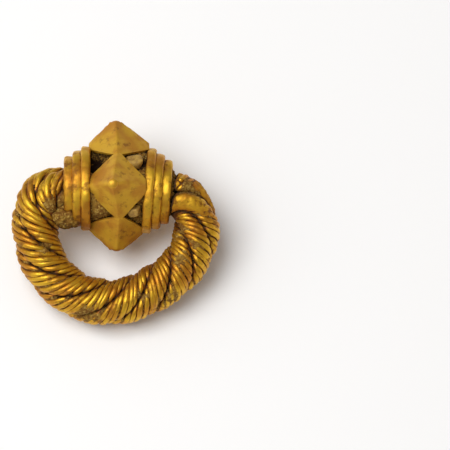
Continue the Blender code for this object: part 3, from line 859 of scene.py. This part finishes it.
# %% [markdown]
# ## The filling
# Inside the bead sits a gritty paste of sand and soil. It shows in eight openings: nearly flush
# in some, and fallen out in the front left one, which is a dark pit. It also stands up inside the
# hollow pyramids. A cylinder along the bead is cut fine, moved in or out under each opening and
# pyramid, and roughened twice.

# %% Gritty filling
FILLING_RADIUS = 3.62 * MM
OPENING_AT = 1.8 * MM
OPENING_REACH = 1.05 * MM
OPENING_RINGS = 51
GRIT_LUMPS = (0.3 * MM, 0.34 * MM, 3)
GRIT_GRAINS = (0.1 * MM, 0.12 * MM, 1)
END_SPARE = 0.25 * MM

# Place along the bead, degrees round it, and how far the filling rises there
MOUNDS = (
    (-2.2, 42, -1.9),
    (-2.2, 74, -1.5),
    (1.8, 45, -0.7),
    (-1.8, -45, 0.45),
    (1.8, -45, -0.2),
    (-1.8, 135, -0.5),
    (1.8, 135, -0.5),
    (-1.8, 225, 0.3),
    (1.8, 225, 0.1),
)
MOUNDS += tuple((place, quarter, 0.55) for quarter in (0, 90, 180, 270) for place in (-2.4, -1.4, 1.4))
MOUNDS += ((2.4, 0, 0.55), (2.3, 90, 0.15), (2.4, 180, 0.45), (2.4, 270, 0.55))

sizes = {"vertices": 176, "radius": FILLING_RADIUS, "depth": 2 * FILLING_HALF, "end_fill_type": "TRIFAN"}
filling = start_with(bpy.ops.mesh.primitive_cylinder_add, "filling_grit", **sizes)
filling.rotation_euler = (0.0, math.pi / 2, 0.0)
bpy.ops.object.transform_apply()
open_mesh("DESELECT")
shape = bmesh.from_edit_mesh(filling.data)
for edge in shape.edges:
    edge.select = abs(edge.verts[0].co.x - edge.verts[1].co.x) > FILLING_HALF
bpy.ops.mesh.subdivide(number_cuts=OPENING_RINGS)
close_mesh()
for vertex in filling.data.vertices:
    reach = math.hypot(vertex.co.y, vertex.co.z)
    if reach < FILLING_RADIUS / 2:
        continue
    turned = math.atan2(vertex.co.y, vertex.co.z)
    change = 0.0
    for mound_at, degrees, amount in MOUNDS:
        aside = math.remainder(turned - math.radians(degrees), TURN) * FILLING_RADIUS
        away = (vertex.co.x - mound_at * MM) ** 2 + aside**2
        change += amount * MM * math.exp(-away / OPENING_REACH**2)
    vertex.co.y *= 1.0 + change / reach
    vertex.co.z *= 1.0 + change / reach
    if vertex.co.x > 0.9 * FILLING_HALF:
        vertex.co.x += max(0.0, ring_face(right, vertex.co.y) - FILLING_HALF) + END_SPARE
make_uneven(filling, GRIT_LUMPS, GRIT_GRAINS)
pieces["bead_filling"] = lay(filling, BEAD)

# %% [markdown]
# ## The stone chips
# Four pale chips of stone sit in openings. A cube is sized, slanting bisects strike flakes off
# it, each of them filled, so that the chip stays closed, and then its edges are bevelled and worn
# smooth.

# %% Four stone chips
# Name, side of the bead, degrees round it, turn, sizes and lift in mm
STONES = (
    ("front_right", 1, 40, 12, (1.8, 1.35, 1.1), 0.24),
    ("back_right", 1, 136, -40, (2.0, 1.5, 1.1), 0.24),
    ("inner_right", 1, -43, 10, (1.4, 1.25, 1.0), 0.22),
    ("back_left", -1, 134, 0, (1.1, 1.0, 0.9), 0.16),
)
STONE_SEAT = 3.55 * MM
STRIKES = 11
STONE_BEVEL = 0.05 * MM
STONE_GRAIN = 0.045 * MM
STONE_WEAR = 70
STONE_DENTS = (0.25 * MM, 0.05 * MM, 2)


def make_stone(name, side_sign, degrees, turn, sizes, lift):
    """One chipped stone, seated in its opening."""
    stone = start_with(bpy.ops.mesh.primitive_cube_add, f"stone_{name}_chip", size=1.0)
    stone.scale = [size * MM for size in sizes]
    bpy.ops.object.transform_apply()
    for _ in range(STRIKES):
        open_mesh()
        away = Vector((dice.uniform(-1, 1), dice.uniform(-1, 1), dice.uniform(-0.6, 0.6))).normalized()
        reach = sum(abs(away[axis]) * sizes[axis] * MM / 2 for axis in range(3)) * dice.uniform(0.66, 0.8)
        bpy.ops.mesh.bisect(plane_co=away * reach, plane_no=away, use_fill=True, clear_outer=True)
    close_mesh()
    modify(stone, "BEVEL", width=STONE_BEVEL, segments=2, limit_method="ANGLE", angle_limit=math.radians(20))
    modify(stone, "REMESH", mode="VOXEL", voxel_size=STONE_GRAIN)
    modify(stone, "SMOOTH", factor=0.5, iterations=STONE_WEAR)
    make_uneven(stone, STONE_DENTS)
    seat = Matrix.Translation((side_sign * OPENING_AT, 0.0, 0.0))
    seat = seat @ Matrix.Rotation(-math.radians(degrees), 4, "X")
    up = Matrix.Translation((0.0, 0.0, STONE_SEAT + lift * MM)) @ Matrix.Rotation(math.radians(turn), 4, "Z")
    stone.matrix_basis = seat @ up
    return lay(stone, BEAD)


for row in STONES:
    pieces[f"stone_{row[0]}"] = make_stone(*row)

# %% [markdown]
# ## How sheltered each point is
# Dirt stays where a finger or a cloth can't reach, and the high places are rubbed bright. So each
# corner of each mesh looks out along a few rays, and the share of them that soon meet something
# is kept as an attribute, which the materials read. They darken sheltered corners, partly as dirt
# and partly as painted shade in creases and gaps. The sides of the rope and of the rings, turned
# away from the earring's front, count as a little more sheltered, which is painted shade on their
# sides, and so does the filling where it has fallen out, which paints the shade of a deep pit.

# %% Shelter of every corner
SHELTER_REACH = 0.9 * MM
PIT_REACH = 2.2 * MM
# Painted shade of a deep pit: the filling counts as more sheltered the further it lies below its surface.
PIT_SHADE = 0.45 / MM
# Painted shade on the sides of the rope and the rings, which face away from the earring's front.
SIDE_SHADE = (("rope_strand", 0.16), ("ring", 0.12))
SHELTER_LIFT = 0.012 * MM
FAR_SHARE = 0.6
RAYS = 14


def spread_rays():
    """Directions spread evenly over a sphere."""
    turns = (np.arange(RAYS) + 0.5) * math.pi * (1 + math.sqrt(5))
    heights = 1 - 2 * (np.arange(RAYS) + 0.5) / RAYS
    around = np.sqrt(1 - heights**2)
    return [Vector(ray) for ray in zip(around * np.cos(turns), around * np.sin(turns), heights)]


points = []
faces = []
for piece in pieces.values():
    start = len(points)
    points.extend(vertex.co.to_tuple() for vertex in piece.data.vertices)
    faces.extend([start + corner for corner in face.vertices] for face in piece.data.polygons)
everything = BVHTree.FromPolygons(points, faces)
rays = spread_rays()
front = LIE.to_3x3() @ Vector((0.0, 0.0, 1.0))
to_bead = BEAD.inverted()
for name, piece in pieces.items():
    mesh = piece.data
    reach = PIT_REACH if name == "bead_filling" else SHELTER_REACH
    side_shade = sum(dirt for start, dirt in SIDE_SHADE if name.startswith(start))
    values = np.zeros(len(mesh.vertices))
    for vertex in mesh.vertices:
        start = vertex.co + vertex.normal * SHELTER_LIFT
        closed = 0.0
        for ray in rays:
            distance = everything.ray_cast(start, vertex.normal + ray, reach)[3]
            if distance is not None:
                closed += 1.0 - FAR_SHARE * distance / reach
        # Sides turned away from the front get painted shade, on top of the shelter of the corner.
        values[vertex.index] = closed / RAYS + side_shade * (1.0 - abs(vertex.normal @ front))
        if name == "bead_filling":
            # Painted shade in the pit: the deeper the filling lies, the darker it gets.
            in_bead = to_bead @ vertex.co
            values[vertex.index] += PIT_SHADE * max(0.0, FILLING_RADIUS - math.hypot(in_bead.y, in_bead.z))
    ends = np.array([edge.vertices[:] for edge in mesh.edges])
    total = values.copy()
    count = np.ones(len(values))
    for first, second in ((0, 1), (1, 0)):
        np.add.at(total, ends[:, first], values[ends[:, second]])
        np.add.at(count, ends[:, first], 1.0)
    layer = mesh.attributes.new("shelter", "FLOAT", "POINT")
    layer.data.foreach_set("value", total / count)
print("shelter worked out for", len(points), "corners")

# %% [markdown]
# ## Materials
# All patterns read Object coordinates, which here are in metres, so a scale is one over the size
# of a spot.

# %% Helpers for node trees
def feed(tree, node, inputs):
    """Sets inputs of a node to a value, or links them."""
    for name, value in inputs.items():
        if isinstance(value, bpy.types.NodeSocket):
            tree.links.new(value, node.inputs[name])
        else:
            node.inputs[name].default_value = value


def add_node(tree, kind, inputs, **settings):
    """Adds a node, sets it, and feeds its inputs."""
    made = tree.nodes.new(f"ShaderNode{kind}")
    for name, value in settings.items():
        setattr(made, name, value)
    feed(tree, made, inputs)
    return made


def noise(tree, place, spot, detail=3.0, roughness=0.55):
    """A cloudy pattern with spots of a size in metres."""
    inputs = {"Vector": place, "Scale": 1.0 / spot, "Detail": detail, "Roughness": roughness}
    return add_node(tree, "TexNoise", inputs).outputs[0]


def step(tree, value, low, high):
    """0 below one value, 1 above another, and smooth between them."""
    inputs = {"Value": value, "From Min": low, "From Max": high}
    return add_node(tree, "MapRange", inputs, interpolation_type="SMOOTHSTEP").outputs[0]


def scaled(tree, value, factor, added=0.0):
    """A value times a factor, plus another value."""
    return add_node(tree, "Math", {0: value, 1: factor, 2: added}, operation="MULTIPLY_ADD").outputs[0]


def mix_colours(tree, share, first, second):
    """One colour that turns into another."""
    return add_node(tree, "Mix", {0: share, 6: first, 7: second}, data_type="RGBA").outputs[2]


def relief(tree, height, strength, depth, **settings):
    """Fine relief that follows a pattern."""
    inputs = {"Height": height, "Strength": strength, "Distance": depth}
    return add_node(tree, "Bump", inputs, **settings).outputs[0]


def new_material(name):
    """A material with its tree, its shader, object coordinates and the shelter attribute."""
    made = bpy.data.materials.new(name)
    made.use_nodes = True
    tree = made.node_tree
    place = add_node(tree, "TexCoord", {}).outputs["Object"]
    shelter = add_node(tree, "Attribute", {}, attribute_name="shelter").outputs["Fac"]
    return made, tree, tree.nodes["Principled BSDF"], place, shelter


# %% [markdown]
# ## Old gold
# The gold is orange-yellow, never one even colour: a red-brown film lies on the sheltered parts,
# soil sticks in the corners, and the high places are bright. Film and soil follow the shelter, so
# they are partly real dirt and partly painted shade in creases and gaps. Wires, rings and granules
# shine more than the satin sheet of the pyramids, so each has its own finish.

# %% Material for gold
YELLOW_GOLD = (0.72, 0.425, 0.032, 1.0)
ORANGE_GOLD = (0.55, 0.24, 0.022, 1.0)
BROWN_STAIN = (0.3, 0.125, 0.022, 1.0)
# The red film and the dark soil also paint the shade in creases and gaps.
RED_FILM_AND_SHADE = (0.24, 0.082, 0.018, 1.0)
DARK_SOIL_AND_SHADE = (0.11, 0.052, 0.014, 1.0)


def old_gold(name, film_and_shade_from, soil_and_shade_from, tone, stained, shine, roughness, gloss=0.5):
    """Gold with a film and soil, partly painted shade, that begin at these degrees of shelter, a brown tone
    and stains.
    """
    made, tree, shader, place, shelter = new_material(name)
    broad = noise(tree, place, 2.2 * MM)
    middling = noise(tree, place, 0.55 * MM, 4.0, 0.6)
    fine = noise(tree, place, 0.11 * MM, 3.0, 0.6)
    gold = mix_colours(tree, step(tree, broad, 0.38, 0.66), YELLOW_GOLD, ORANGE_GOLD)
    gold = mix_colours(tree, tone, gold, BROWN_STAIN)
    patches = noise(tree, place, 0.95 * MM, 5.0, 0.62)
    stain = step(tree, patches, 0.64 - stained, 0.80 - stained)
    gold = mix_colours(tree, scaled(tree, stain, 0.85), gold, BROWN_STAIN)
    melted = add_node(tree, "Attribute", {}, attribute_name="melted").outputs["Fac"]
    crusted = scaled(tree, melted, 0.14, scaled(tree, middling, 0.4, -0.2))
    # Painted shade: shelter darkens creases and gaps with film and soil, mixed with real crust and dirt.
    dirt_and_shade = scaled(tree, shelter, 1.0, crusted)
    film_and_shade = step(tree, dirt_and_shade, film_and_shade_from, film_and_shade_from + 0.28)
    soil_and_shade = step(tree, dirt_and_shade, soil_and_shade_from, soil_and_shade_from + 0.18)
    filmed_and_shaded = mix_colours(tree, film_and_shade, gold, RED_FILM_AND_SHADE)
    rough = scaled(tree, fine, 0.22, roughness)
    dull = scaled(tree, melted, 0.16, scaled(tree, soil_and_shade, 0.45, rough))
    surface = {
        "Base Color": mix_colours(tree, soil_and_shade, filmed_and_shaded, DARK_SOIL_AND_SHADE),
        "Metallic": scaled(tree, soil_and_shade, -shine, shine),
        "Roughness": scaled(tree, stain, 0.16, dull),
        "Specular IOR Level": gloss,
        "Normal": relief(tree, scaled(tree, middling, 0.6, fine), 0.55, 0.035 * MM),
    }
    feed(tree, shader, surface)
    return made


wire_gold = old_gold("wire_gold", 0.34, 0.6, 0.0, 0.12, 0.94, 0.36)
ring_gold = old_gold("ring_gold", 0.31, 0.52, 0.0, 0.13, 0.9, 0.38)
sheet_gold = old_gold("sheet_gold", 0.62, 0.84, 0.18, 0.09, 0.42, 0.46, gloss=0.25)
granule_gold = old_gold("granule_gold", 0.6, 0.9, 0.0, -0.2, 0.7, 0.34)
print("made", wire_gold.name, ring_gold.name, sheet_gold.name, granule_gold.name)

# %% [markdown]
# ## Grit and soil
# The filling is sand bound with soil: dark brown, with pale grains, which a cell pattern picks
# out. It has almost no shine. Its sheltered places and the fallen-out pit turn nearly black, which
# is painted shade.

# %% Material for grit and soil
GRIT_DARK = (0.16, 0.07, 0.012, 1.0)
GRIT_MID = (0.31, 0.17, 0.027, 1.0)
GRAIN = (0.38, 0.24, 0.055, 1.0)
# Near-black of painted shade in the fallen-out pit and in sheltered gaps.
PIT_DARK = (0.016, 0.006, 0.002, 1.0)

earth, tree, shader, place, shelter = new_material("grit")
cells = add_node(tree, "TexVoronoi", {"Vector": place, "Scale": 1.0 / (0.17 * MM), "Randomness": 1.0})
spots = noise(tree, place, 0.4 * MM, 4.0, 0.65)
mottled = mix_colours(tree, step(tree, spots, 0.4, 0.62), GRIT_DARK, GRIT_MID)
pale = add_node(tree, "SeparateColor", {0: cells.outputs["Color"]}).outputs[0]
grains = mix_colours(tree, step(tree, pale, 0.76, 0.9), mottled, GRAIN)
# Painted shade: sheltered places, broken up by crumbs, turn to the near-black of a pit.
crumbled_shade = scaled(tree, noise(tree, place, 0.2 * MM, 2.0), -0.9, shelter)
deep = step(tree, crumbled_shade, 0.02, 0.4)
surface = {
    "Base Color": mix_colours(tree, deep, grains, PIT_DARK),
    "Roughness": 0.92,
    "Specular IOR Level": 0.15,
    "Normal": relief(tree, cells.outputs["Distance"], 0.8, 0.05 * MM, invert=True),
}
feed(tree, shader, surface)
print("made", earth.name)

# %% [markdown]
# ## Pale stone
# The chips are cloudy and yellowish, a little waxy. Their low spots darken towards brown, partly soil and
# partly painted shade.

# %% Material for the stone chips
PALE_STONE = (0.47, 0.285, 0.06, 1.0)
BROWN_STONE = (0.25, 0.13, 0.03, 1.0)

stone_finish, tree, shader, place, shelter = new_material("pale_stone")
clouds = noise(tree, place, 0.5 * MM, 4.0, 0.6)
cloudy = mix_colours(tree, step(tree, clouds, 0.4, 0.68), PALE_STONE, BROWN_STONE)
# Low spots darken by shelter: partly soil, partly painted shade.
soil_and_shade = step(tree, shelter, 0.35, 0.7)
surface = {
    "Base Color": mix_colours(tree, soil_and_shade, cloudy, GRIT_DARK),
    "Roughness": 0.48,
    "Specular IOR Level": 0.3,
    "Normal": relief(tree, clouds, 0.4, 0.04 * MM),
}
feed(tree, shader, surface)
print("made", stone_finish.name)

# %% [markdown]
# ## Every piece gets its finish
# Each dressed piece rides on the solid model's one body, gets its finish, and replaces its solid
# node. The three pieces of soil have none.

# %% Finishes and places
FINISHES = (
    ("rope_strand", "gold", wire_gold),
    ("ring", "gold", ring_gold),
    ("pyramid", "gold", sheet_gold),
    ("granule", "gold", granule_gold),
    ("stone", "pale_stone", stone_finish),
    ("", "filling", earth),
)
for node_name, piece in pieces.items():
    slot, finish = next(row[1:] for row in FINISHES if node_name.startswith(row[0]))
    piece.data.materials.append(finish)
    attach(piece, "root")
    if node_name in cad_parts:
        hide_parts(node_name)
print("dressed", len(pieces), "pieces")

# %% [markdown]
# ## Table, light and camera
# The table is plain and pale. A large soft lamp, left of the camera, draws the bright lines on
# wires and rings. A panel low on the left lights the left faces of the pyramids, and a warm one
# low on the right makes the right faces redder. The sky is dimmer on the right. The camera looks
# at the earring's front from far away, so that perspective stretches nothing.

# %% Table and lights
TABLE_SIZE = 0.5
TABLE_COLOUR = (0.98, 0.98, 0.98, 1.0)
SKY_LEFT = 0.52
SKY_RIGHT = 0.13

table = start_with(bpy.ops.mesh.primitive_plane_add, "table", size=TABLE_SIZE)
table_finish, tree, shader = new_material("table")[:3]
feed(tree, shader, {"Base Color": TABLE_COLOUR, "Roughness": 0.8})
table.data.materials.append(table_finish)
table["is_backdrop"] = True

sky = bpy.data.worlds.new("studio")
sky.use_nodes = True
tree = sky.node_tree
sky_place = add_node(tree, "TexCoord", {}).outputs["Generated"]
sky_side = add_node(tree, "SeparateXYZ", {0: sky_place}).outputs[0]
from_left = {"Value": sky_side, "From Min": -1.0, "To Min": SKY_LEFT, "To Max": SKY_RIGHT}
strength = add_node(tree, "MapRange", from_left).outputs[0]
feed(tree, tree.nodes["Background"], {"Color": (1.0, 1.0, 1.0, 1.0), "Strength": strength})
bpy.context.scene.world = sky


def add_lamp(name, place, size, power, tint=(1.0, 1.0, 1.0)):
    """A square soft lamp aimed at the earring."""
    lamp = bpy.data.lights.new(name, "AREA")
    lamp.size = size
    lamp.energy = power
    lamp.color = tint
    shown = new_object(name, lamp)
    shown.location = place
    shown.rotation_euler = Vector(place).to_track_quat("Z", "Y").to_euler()
    print(name, "gives", power, "W")


add_lamp("key", (-0.14, -0.01, 0.39), 0.27, 1.34)
add_lamp("left_panel", (-0.3, 0.0, 0.14), 0.24, 0.06)
add_lamp("right_panel", (0.3, -0.05, 0.11), 0.24, 0.1, (1.0, 0.7, 0.42))

# %% Camera
VIEW_WIDTH = 47.37 * MM
SENSOR = 36.0
LENS = 1000.0
aim = LIE @ Vector((11.43 * MM, -0.19 * MM, 0.0))
view = bpy.data.cameras.new("camera")
view.lens = LENS
view.sensor_width = SENSOR
view.clip_start = 0.01
view.clip_end = 3.0
camera = new_object("camera", view)
camera.location = aim + front * (VIEW_WIDTH * LENS / SENSOR)
camera.rotation_euler = (TILT, 0.0, 0.0)
bpy.context.scene.camera = camera
bpy.context.scene.view_settings.view_transform = "Standard"
print("the camera sees", round(VIEW_WIDTH / MM, 2), "mm from side to side")

# %% Size of the dressed earring
low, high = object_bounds()
sizes = {
    "cad_box": [list(solid_low), list(solid_high)],
    "visual_box": [list(low), list(high)],
}
print("dressed from", tuple(low), "to", tuple(high))
